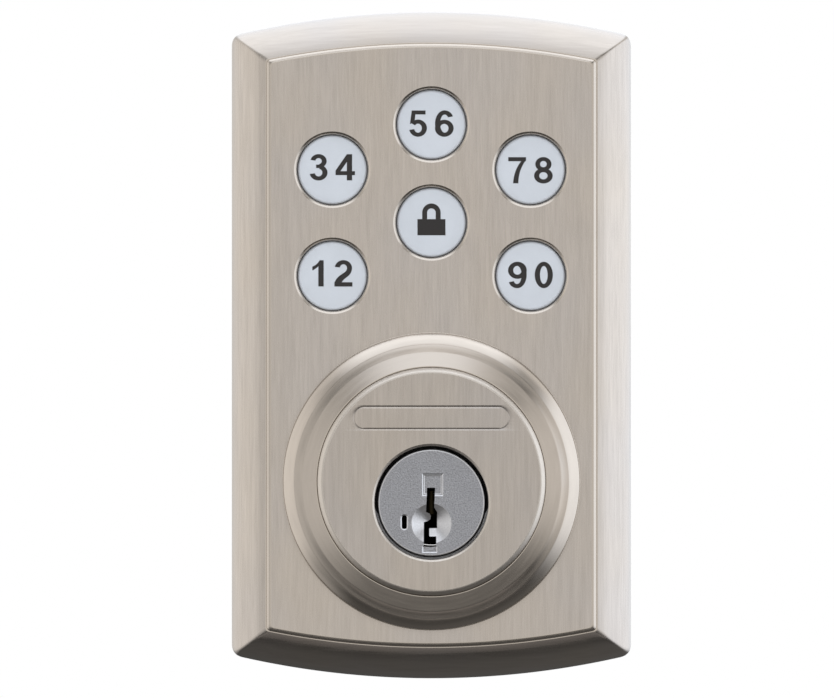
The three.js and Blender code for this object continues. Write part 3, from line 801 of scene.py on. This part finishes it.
def plug_works():
    """Pins, springs, their cover, the sidebar, the clip and the blade."""
    for number in range(1, 6):
        x, depth = plug_axis(number)
        low, high = cad(f"tumbler_pin_{number}")
        radius = (high.x - low.x) / 2
        build = Build()
        profile = [(0, low.z), (0.35, low.z), (radius, low.z + 0.8), (radius, high.z), (0, high.z)]
        build.upright(soften(profile, 0.15, 3, closed=False), x, depth)
        # The pins take the near-black brass, painted shade of the deep keyway.
        pin = build.object(f"pin_{number}", [PIN_BRASS_PAINTED_SHADE])
        place(pin, f"tumbler_pin_{number}", "brass", f"tumbler_pin_{number}")
        spring(number, x, depth)
    cover = soft_edges(bar(*extent("pin_cover"), [BRIGHT_BRASS], "spring_cover"), 0.2)
    place(cover, "plug", "brass", "pin_cover")
    low, high = cad("sidebar")
    build = Build()
    nose = [(high.x, low.z), (low.x + 0.5, low.z), (low.x, -0.25)]
    nose += [(low.x, 0.25), (low.x + 0.5, high.z), (high.x, high.z)]
    build.prism(nose, (low.y, high.y))
    place(soft_edges(build.object("locking_bar", [STEEL]), 0.12), "plug", "steel", "sidebar")
    low, high = cad("plug_clip")
    build = Build()
    outer, inner, gap = high.x, 7.1, 25
    ring = bow(0, 0, outer, outer, gap - 90, 270 - gap, 72)
    ring += bow(0, 0, inner, inner, 270 - gap, gap - 90, 72)
    build.prism(ring, (low.y, high.y))
    place(soft_edges(build.object("retaining_clip", [STEEL]), 0.12, 2), "plug", "steel", "plug_clip")
    blade()


def spring(number, x, depth):
    """A coil of round wire that presses a pin down."""
    node = f"pin_spring_{number}"
    low, high = cad(node)
    wire, turns, around, steps = 0.16, 5, 8, 24
    radius = (high.x - low.x) / 2 - wire
    bottom, top = low.z + wire, high.z - wire
    loops = []
    for i in range(turns * steps + 1):
        share = i / (turns * steps)
        angle = 2 * math.pi * turns * share
        out = Vector((math.cos(angle), math.sin(angle), 0))
        middle = Vector((x, depth, bottom + (top - bottom) * share)) + out * radius
        loop = []
        for k in range(around):
            turn = 2 * math.pi * k / around
            rise = Vector((0, 0, wire * math.sin(turn)))
            loop.append(tuple(middle + out * wire * math.cos(turn) + rise))
        loops.append(loop)
    build = Build()
    build.tube(loops)
    coil = place(build.object(f"coil_{number}", [STEEL], 60), "plug", "steel", node)
    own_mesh(coil)


def blade():
    """The half-round tailpiece that turns the bolt."""
    low, high = cad("torque_blade")
    radius = (high.z - low.z) / 2
    rod = Build()
    profile = [(0, low.y), (radius - 0.8, low.y), (radius, low.y + 1.6), (radius, high.y), (0, high.y)]
    rod.lathe(soften(profile, 0.2, 3, closed=False), sides=64)
    reach = radius + 2
    flat = bar((1.2, reach, -reach, reach), (low.y - 2, PLUG_LOW.y - 1.5), [STEEL])
    place(carve(rod.object("tailpiece", [STEEL]), flat), "plug", "steel", "torque_blade")


# ---------------------------------------------------------------- cylinder housing


def cylinder_housing():
    low, high = cad("cylinder_body")
    body, barrel, back, reach = high.x, 13.0, 8.2, 0.3
    materials = [CAST_ZINC, PAINTED_SHADE_BLACK]
    build = Build()
    outside = soften([(0, back), (body, back), (body, high.y), (11.6, high.y)], reach, 4, closed=False)
    build.lathe(outside, 0, RING_Z)
    # The face behind the plug is near-black painted shade, so the gap round the plug reads dark.
    build.lathe([(11.6, high.y), (0, high.y)], 0, RING_Z, 1)
    whole = build.object("cylinder_housing", materials)
    added = [peg(barrel, (low.y, back + 1), materials, reach=reach)]
    removed = [
        peg(8.2, (low.y - 1, high.y + 1), materials, reach=reach),
        peg(PLUG_HEAD + 0.2, (22.8, high.y + 1), materials, reach=reach),
    ]
    for number in (1, 2):
        x, z = centre(f"cylinder_screw_{number}")
        added.append(peg(3, (2.8, back + 1), materials, x, z, 40, reach))
        removed.append(peg(1.5, (0, 10), materials, x, z, 32, reach))
    removed.append(bar((-9.4, -6.5, -1.1, 1.1), (3, 20), materials))
    carve(whole, *added, operation="UNION")
    place(carve(whole, *removed), "housing", "cast_zinc", "cylinder_body")

    low, high = cad("guard_seal")
    outer, inner = high.x, cad("cylinder_body")[1].x + 0.5
    build = Build()
    section = [(inner, low.y), (outer, low.y), (outer, high.y), (inner, high.y)]
    build.lathe(soften(section, 0.25), 0, RING_Z, close=True)
    place(build.object("seal_ring", [RUBBER]), "housing", "black_rubber", "guard_seal")


# ---------------------------------------------------------------- keys


def band(x, z, across, up, start, end, side=0.95, top=0.76):
    """Part of an upright oval stroke, from one angle to another: its outline."""
    outer = bow(x, z, across, up, start, end)
    return outer + bow(x, z, across - side, up - top, end, start)


def oval(x, z, across, up, side=0.95, top=0.76):
    return [band(x, z, across, up, -4, 184, side, top), band(x, z, across, up, 176, 364, side, top)]


def six():
    arm = [band(0, 0, 1.72, 2.45, 88, 262, 0.95, 0.8), band(0.03, 0.98, 1.6, 1.47, 14, 94)]
    return oval(0, -0.87, 1.73, 1.58) + arm


DIGITS = {  # outlines about each digit's middle; digits are 4.9 high
    "0": oval(0, 0, 1.68, 2.45, 0.97, 0.78),
    "1": [
        [(0.07, -2.43), (1.05, -2.43), (1.05, 2.43), (0.32, 2.43), (0.07, 2.0)],
        bend((0.32, 2.43), (-0.15, 1.6), (-1.05, 1.25), 8)
        + bend((-1.05, 0.55), (-0.4, 0.8), (0.15, 1.42), 8)
        + [(0.6, 1.3), (0.6, 2.3)],
    ],
    "2": [
        band(0, 1.0, 1.6, 1.45, -12, 172, 0.93),
        rectangle(-1.67, 1.67, -2.45, -1.65),
        bend((1.6, 0.9), (1.55, -0.1), (0.5, -0.8), 8)
        + bend((0.5, -0.8), (-0.1, -1.2), (-0.4, -1.8), 6)
        + [(-1.67, -1.8)]
        + bend((-1.6, -1.6), (-1.3, -0.8), (-0.35, -0.2), 8)
        + bend((-0.1, 0), (0.67, 0.35), (0.67, 1.0), 8),
    ],
    "3": [
        band(0, 1.15, 1.5, 1.3, -80, 170, 0.9, 0.74),
        band(0, -0.99, 1.66, 1.46, -170, 80),
        rectangle(-0.45, 0.45, -0.14, 0.5),
    ],
    "4": [
        rectangle(0.3, 1.27, -2.43, 2.43),
        rectangle(-1.8, 1.8, -1.45, -0.72),
        [(0.3, 2.43), (0.8, 2.43), (0.5, 1.3), (-0.95, -0.8), (-1.8, -0.8), (-1.8, -0.6)],
    ],
    "5": [
        rectangle(-1.1, 1.4, 1.7, 2.43),
        [(-1.15, 2.43), (-0.4, 2.43), (-0.6, 0.7), (-0.75, 0.25), (-1.5, -0.1)],
        band(0, -0.85, 1.66, 1.6, -168, 142),
    ],
    "6": six(),
    "7": [
        rectangle(-1.65, 1.65, 1.68, 2.43),
        bend((1.65, 1.9), (0.25, 0.1), (0.22, -2.43)) + bend((-0.75, -2.43), (-0.6, 0.1), (0.85, 1.8)),
    ],
    "8": oval(0, 1.14, 1.5, 1.31, 0.88, 0.72) + oval(0, -1.02, 1.73, 1.43),
    "9": [[(-x, -z) for x, z in shape] for shape in six()],
}


def digits(text, gap):
    """The outlines of a pair of digits, centred on each other with a gap between."""
    pair = []
    for digit in text:
        shapes = DIGITS[digit]
        across = [x for shape in shapes for x, _ in shape]
        pair.append((shapes, min(across), max(across)))
    widths = [high - low for _, low, high in pair]
    left = -(sum(widths) + gap) / 2
    moved = []
    for (shapes, low, _), width in zip(pair, widths):
        moved += [[(px - low + left, pz) for px, pz in shape] for shape in shapes]
        left += width + gap
    return moved


def padlock():
    """A generic closed padlock."""
    shackle = [(-1.255, -0.2), *bow(0, 1.37, 1.255, 1.255, 180, 0), (1.255, -0.2)]
    return [rectangle(-2.6, 2.6, -2.83, 0.17), ribbon(shackle, 0.91)]


LEGEND_RISE = {"56": 0.17, "78": -0.1, "90": 0.15}  # the legends are not all at one height


def keys():
    for name, (x, z) in KEY_CENTRES.items():
        low, high = cad(name)
        flange = (high.x - low.x) / 2
        collar = KEY_BACK + 1.2
        build = Build()
        back = [(0, KEY_BACK), (flange, KEY_BACK), (flange, collar), (CAP_RADIUS, collar)]
        profile = soften(back, 0.15, 3, closed=False)
        across, down = 0.55, 0.85
        profile += bow(CAP_RADIUS - across, KEY_FACE - down, across, down, 0, 90, 10)
        profile.append((0, KEY_FACE))
        build.lathe(profile, x, z)
        place(build.object(f"cap_{name}", [CAP]), name, "keycap", name)
        label = name.split("_")[1]
        shapes = padlock() if label == "lock" else digits(label, 2.0 if "1" in label else 1.5)
        above = LEGEND_RISE.get(label, 0.45)
        build = Build()
        moved = [[(x + px, z + above + pz) for px, pz in shape] for shape in shapes]
        build.stamp(moved, (KEY_FACE + 0.005, KEY_FACE + 0.03))
        place(build.object(f"legend_{label}", [LEGEND]), name, "keycap")


# ---------------------------------------------------------------- electronics


def box(name, sides, ends, material, edge=0.25, cutters=()):
    """A block with rounded edges, less the cutters: each is its sides and its two depths."""
    made = bar(sides, ends, [material], name)
    if cutters:
        carve(made, *[bar(*cutter, [material]) for cutter in cutters])
    return soft_edges(made, edge, 2)


def key_works():
    """Under each key: a silicone dome that pushes it out, and the snap switch it presses."""
    for key, (x, z) in KEY_CENTRES.items():
        label = key.split("_")[1]
        low, high = depths(f"return_dome_{label}")
        build = Build()
        profile = [(0, 13.4), (2.5, 13.4), (2.5, low), (4.2, low)]
        profile += [(4.2, 12.9), (3.0, 14.1), (2.6, high), (0, high)]
        build.lathe(soften(profile, 0.35, 4, closed=False), x, z, sides=64)
        dome = build.object(f"dome_{label}", [SILICONE])
        place(dome, "housing", "silicone", f"return_dome_{label}")
        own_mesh(dome)
        low, high = depths(f"snap_switch_{label}")
        build = Build()
        snap = [(0, low), (2.1, low), (2.1, low + 0.12), (1.75, low + 0.16)]
        snap += [(1.2, high - 0.08), (0.5, high), (0, high)]
        build.lathe(soften(snap, 0.12, 3, closed=False), x, z, sides=48)
        place(build.object(f"contact_{label}", [STEEL]), "housing", "steel", f"snap_switch_{label}")


def mat_and_board():
    low, high = cad("keypad_mat")
    build = Build()
    holes = [bow(x, z, 4.7, 4.7, 0, 352.5, 47) for x, z in KEY_CENTRES.values()]
    build.prism(rectangle(low.x, high.x, low.z, high.z, 2.5), (low.y, high.y), holes)
    sheet = soft_edges(build.object("mat", [SILICONE]), 0.2, 2)
    place(sheet, "housing", "silicone", "keypad_mat")

    low, high = cad("keypad_board")
    skin = 0.03
    build = Build()
    build.prism(rectangle(low.x, high.x, low.z, high.z, 1.2), (low.y + skin, high.y - skin))
    for x, z in KEY_CENTRES.values():
        pad = [(2.25, high.y - 0.1), (2.25, high.y), (2.75, high.y), (2.75, high.y - 0.1)]
        build.lathe(pad, x, z, 1, 48, close=True)
    pads = [(x, 56.6 + i * 0.97, 0.5, 0.22) for i in range(8) for x in (-5.6, 5.6)]
    for x in [i * 2.6 - 22 for i in range(14)]:
        pads += [(x, 75.75, 0.5, 0.55), (x + 0.8, 36.7, 0.4, 0.3)]
    for x, z, across, up in pads:
        pad = rectangle(x - across, x + across, z - up, z + up)
        build.prism(pad, (low.y, low.y + 0.1), material=1)
    place(build.object("board", [BOARD, BRIGHT_BRASS]), "housing", "circuit_board", "keypad_board")


def small_parts():
    for number in range(1, 4):
        node = f"backlight_led_{number}"
        place(box(f"lamp_{number}", *extent(node), LED, 0.15), "housing", "led", node)
    low, high = cad("controller_chip")
    sides = (low.x + 0.8, high.x - 0.8, low.z, high.z)
    package = box("package", sides, (low.y, high.y - 0.1), PLASTIC, 0.12)
    place(package, "housing", "black_plastic", "controller_chip")
    legs = Build()
    for i in range(8):
        z = low.z + 0.6 + i * 0.97
        for side, reach in ((-1, low.x), (1, high.x)):
            top, foot = 9.9, high.y
            bent = [(0.9, top), (0.45, top), (0.3, foot - 0.15), (0, foot - 0.15)]
            bent += [(0, foot), (0.42, foot), (0.57, top + 0.15), (0.9, top + 0.15)]
            bent = [(reach - side * x, depth) for x, depth in bent]
            legs.tube([[(x, depth, z + half) for x, depth in bent] for half in (-0.18, 0.18)])
    place(legs.object("package_legs", [STEEL]), "housing", "black_plastic")
    low, high = cad("cable_socket")
    cutters = [((low.x + 1, high.x - 1, low.z - 1.5, high.z - 1), (low.y + 0.8, high.y - 0.7))]
    cutters += [((x, x + 1.2, low.z - 1, low.z + 3), (low.y - 1, low.y + 1)) for x in (-10.8, -6.4)]
    socket = box("wire_socket", *extent("cable_socket"), PLASTIC, 0.15, cutters)
    place(socket, "housing", "black_plastic", "cable_socket")
    pins = Build()
    for i in range(6):
        x = low.x + 2.5 + i
        pins.prism(rectangle(x - 0.2, x + 0.2, low.z + 0.8, high.z - 0.9), (8.6, 9.0))
    place(pins.object("socket_pins", [BRIGHT_BRASS]), "housing", "black_plastic")

    low, high = cad("board_carrier")
    side, ear, z_low, z_high = 26.0, high.x, 38.5, 74.5
    right = [(side, low.z)]
    for z in (z_low, z_high):
        right += [(side, z - 3), (ear, z - 3), (ear, z + 3), (side, z + 3)]
    right.append((side, high.z))
    ring = soften(right + [(-x, z) for x, z in reversed(right)], 1.0, 3)
    holes = [rectangle(-20, 20, 40.5, 73, 1.5)]
    holes += [bow(x, z, 1.7, 1.7, 0, 345, 23) for x in (-29.6, 29.6) for z in (z_low, z_high)]
    build = Build()
    build.prism(ring, (low.y, high.y), holes)
    made = soft_edges(build.object("carrier", [PLASTIC]), 0.25, 2)
    place(made, "housing", "black_plastic", "board_carrier")


# ---------------------------------------------------------------- fasteners and back


def threaded(radius, depth, first, last, x, z, pitch=0.9, sides=32):
    """Loops of a helical thread between two depths; a thread deeper than 0 stands inwards."""
    rows = max(8, int(abs(last - first) / pitch * 7))
    loops = []
    for row in range(rows + 1):
        along = first + (last - first) * row / rows
        loop = []
        for i, (px, _, pz) in enumerate(circle(1, 0, 0, 0, sides)):
            phase = (along / pitch + i / sides) % 1
            r = radius - depth * abs(2 * phase - 1)
            loop.append((x + r * px, along, z + r * pz))
        loops.append(loop)
    return loops


def screw(node, head, seat, recess):
    """A cross-head screw: its head's profile, then a thread and a short point."""
    x, z = centre(node)
    low, high = depths(node)
    sides = 32
    build = Build()
    loops = [circle(r, d, x, z, sides) for r, d in soften(head, 0.25, 3, closed=False)]
    loops += threaded(1.4, 0.28, seat, high - 0.7, x, z)
    loops += [circle(r, d, x, z, sides) for r, d in ((0.7, high), (0, high))]
    build.skin(loops)
    whole = build.object(node.replace("screw", "fixing"), [STEEL])
    tools = []
    for across in (0, 1):
        arm, half = 0.32, recess
        mouth = (half, arm) if across else (arm, half)
        floor = (0.5, 0.22) if across else (0.22, 0.5)
        cutter = Build()
        levels = [(mouth, low - 1), (mouth, low), (floor, low + 0.95)]
        cutter.loft([at_depth(rectangle(x - w, x + w, z - h, z + h), d) for (w, h), d in levels])
        tools.append(cutter.object("tool", [STEEL]))
    place(carve(whole, *tools), "housing", "steel", node)


FLAT_SCREWS = [f"shell_screw_{n}" for n in range(1, 5)] + [f"cylinder_screw_{n}" for n in (1, 2)]


def screws():
    for number in range(1, 5):
        node = f"carrier_screw_{number}"
        low = depths(node)[0]
        seat = low + 1.3
        head = [(0, low), (1.7, low), (2.5, low + 0.6), (2.5, seat), (1.3, seat), (1.2, seat + 0.1)]
        screw(node, head, seat + 0.15, 1.25)
    for node in FLAT_SCREWS:
        low = depths(node)[0]
        head = [(0, low), (2.6, low), (2.6, low + 0.2), (1.35, low + 1.3)]
        screw(node, head, low + 1.35, 1.4)


def back():
    """The steel back plate, the gasket, the grommet and the two threaded posts."""
    low, high = depths("back_plate")
    edge = 0.15
    build = Build()
    loops = [outline(out, 0.8, depth) for out, depth in eased_wall(WALL + 0.2, low, high, edge)]
    build.skin(loops)
    bores = []
    for x, z, radius in ((0, 0, 13.2), (0, 21.0, 4.5), (19, 0, 3.0), (-19, 0, 3.0)):
        bores.append(build.bore([(radius + edge, low), (radius, low + edge), (radius, high)], x, z))
    sunk = [(2.75, low), (2.75, low + 0.35), (1.65, low + 1.45), (1.65, high)]
    bores += [build.bore(sunk, *centre(node), sides=48) for node in FLAT_SCREWS]
    build.faces(loops[0], loops[-1], bores)
    place(build.object("rear_plate", [STEEL]), "housing", "steel", "back_plate")

    low, high = depths("door_gasket")
    build = Build()
    loops = [outline(out, 1.6, depth) for out, depth in eased_wall(0.6, low, high, 0.12)]
    build.skin(loops)
    bores = [build.bore(eased_wall(27.6, low, high, 0.12), sides=2 * CIRCLE)]
    for number in range(1, 5):
        x, z = centre(f"shell_screw_{number}")
        bores.append(build.bore([(3, low), (3, high)], x, z, sides=48))
    build.faces(loops[0], loops[-1], bores)
    place(build.object("gasket", [RUBBER]), "housing", "black_rubber", "door_gasket")

    low, high = depths("cable_grommet")
    x, z = centre("cable_grommet")
    inner, neck, lip = 3.2, 4.4, 5.6
    section = [(inner, low), (lip, low), (lip, low + 1), (neck, low + 1)]
    section += [(neck, high - 1), (lip, high - 1), (lip, high), (inner, high)]
    build = Build()
    build.lathe(soften(section, 0.35), x, z, close=True)
    place(build.object("grommet", [RUBBER]), "housing", "black_rubber", "cable_grommet")

    for side in ("left", "right"):
        node = f"bolt_post_{side}"
        x, z = centre(node)
        low, high = depths(node)
        sides, shoulder, radius, tail = 48, 1.1, 4.2, 2.9
        outer = [(2.5, low), (radius - 0.35, low), (radius, low + 0.35), (radius, shoulder - 0.2)]
        outer += [(radius - 0.2, shoulder), (tail, shoulder), (tail, high - 0.25)]
        outer += [(tail - 0.25, high), (0, high)]
        build = Build()
        loops = [circle(0, 0.6, x, z, sides), *threaded(2.45, 0.25, 0.6, low + 0.3, x, z, 0.8, sides)]
        loops += [circle(r, d, x, z, sides) for r, d in outer]
        build.skin(loops)
        place(build.object(f"threaded_post_{side}", [STEEL]), "housing", "steel", node)


# ---------------------------------------------------------------- set and camera


PLATE_LIGHT = 1.02  # brightness of the studio straight ahead of the lock
# The studio's brightness, against straight ahead, in rings round the view axis: the degrees off
# the axis where a ring starts and is full, then its degrees clockwise from the top, and level.
LIGHT_RINGS = [(10, 32, [
    (0, 1.58), (12, 1.58), (30, 0.85), (45, 0.50), (60, 0.92), (88, 0.99), (106, 0.88), (134, 0.22),
    (212, 0.24), (228, 0.50), (246, 0.88), (270, 0.88), (298, 0.84), (315, 0.58), (345, 1.55),
]), (38, 46, [
    (0, 0.98), (20, 0.75), (45, 0.22), (64, 1.05), (84, 1.32), (100, 1.15), (134, 0.06),
    (212, 0.07), (228, 0.22), (250, 0.65), (270, 0.78), (292, 0.62), (315, 0.28), (342, 0.72),
]), (48, 60, [
    (0, 1.70), (26, 1.70), (41, 0.42), (48, 0.50), (62, 1.65), (90, 1.70), (106, 1.58), (134, 0.09),
    (215, 0.09), (228, 0.36), (248, 1.08), (270, 1.20), (295, 1.12), (314, 0.62), (334, 1.70),
]), (64, 92, [
    (0, 1.96), (26, 1.98), (41, 1.00), (48, 1.05), (62, 1.65), (90, 1.66), (106, 1.52), (134, 0.16),
    (212, 0.12), (228, 0.55), (248, 1.15), (270, 1.22), (295, 1.15), (314, 0.90), (334, 1.90),
])]
TINTS = {"warm": (1.0, 0.985, 0.965), "cool": (0.96, 1.0, 1.06)}


def studio():
    """Soft light by direction: a front panel, panels above and at both sides, and a dark floor."""
    world = bpy.data.worlds.new("studio")
    bpy.context.scene.world = world
    world.use_nodes = True
    made = Nodes(world.node_tree)
    x, y, z = made.split(made.nodes.new("ShaderNodeTexCoord").outputs["Generated"])
    off_axis = made.math("DEGREES", made.math("ARCCOSINE", made.math("MULTIPLY", y, -1.0)))
    angle = made.math("MULTIPLY", made.math("ARCTAN2", x, z), 0.5 / math.pi)
    turn = made.math("FRACT", made.math("ADD", angle, 1.0))
    peak = 2.0

    def ring(levels):
        """The light along one ring, cool where it is bright."""
        node = made.nodes.new("ShaderNodeValToRGB")
        made.feed(node.inputs["Fac"], turn)
        node.color_ramp.interpolation = "EASE"
        stops = node.color_ramp.elements
        while len(stops) < len(levels) + 1:
            stops.new(0.5)
        for stop, (degrees, level) in zip(stops, [*levels, (360, levels[0][1])]):
            tint = TINTS["cool" if level > 1.25 else "warm"]
            stop.position = degrees / 360
            stop.color = (*(level / peak * channel for channel in tint), 1)
        return node.outputs["Color"]

    def hump(source, rise, fall):
        """1 between the rise and the fall, and 0 outside them."""
        rising = made.ramp(source, *rise, 0.0, 1.0)
        return made.math("MULTIPLY", rising, made.ramp(source, *fall, 1.0, 0.0))

    shown = tuple(channel / peak for channel in TINTS["warm"])
    for start, end, levels in LIGHT_RINGS:
        shown = made.mix(made.ramp(off_axis, start, end, 0.0, 1.0), shown, ring(levels))
    shown = made.vector_math("SCALE", shown, made.ramp(off_axis, 128, 164, peak, 0.72 * peak))
    below = hump(turn, (0.35, 0.41), (0.58, 0.64))
    card = made.math("MULTIPLY", hump(off_axis, (47, 51), (55, 59)), below)
    shown = made.mix(card, shown, (0.42, 0.40, 0.39))
    lit = made.vector_math("SCALE", shown, PLATE_LIGHT)
    seen = made.nodes.new("ShaderNodeLightPath").outputs["Is Camera Ray"]
    made.feed(made.nodes["Background"].inputs["Color"], made.mix(seen, lit, (1.0, 1.0, 1.0)))

    size, level = 0.6, -0.085
    corners = [(-size, -size, level), (size, -size, level), (size, size, level), (-size, size, level)]
    floor = bpy.data.meshes.new("floor")
    floor.from_pydata(corners, [], [(0, 1, 2, 3)])
    pale = Shader("pale_floor", 0.9)
    pale.shade((0.86, 0.86, 0.85), pale.spread(pale.noise([3, 3, 3]), 0.99, 1.01))
    floor.materials.append(pale.material)
    ground = bpy.data.objects.new("floor", floor)
    bpy.context.scene.collection.objects.link(ground)
    ground.visible_glossy = False


def camera():
    """Square on, from far away, with the lock a little right of the middle."""
    distance = 4.0
    view_width = 0.15516  # at the depth of the bevel
    data = bpy.data.cameras.new("camera")
    data.sensor_width = 36
    data.lens = data.sensor_width * (distance - 0.012) / view_width
    data.clip_start, data.clip_end = 0.05, 20
    made = bpy.data.objects.new("camera", data)
    bpy.context.scene.collection.objects.link(made)
    made.location = (-0.00268, -distance, MIDDLE * MM - 0.0007)
    made.rotation_euler = (math.pi / 2, 0, 0)
    bpy.context.scene.camera = made
    bpy.context.scene.view_settings.view_transform = "Standard"


escutcheon()
guard()
plug()
plug_works()
cylinder_housing()
keys()
key_works()
mat_and_board()
small_parts()
screws()
back()
studio()
camera()
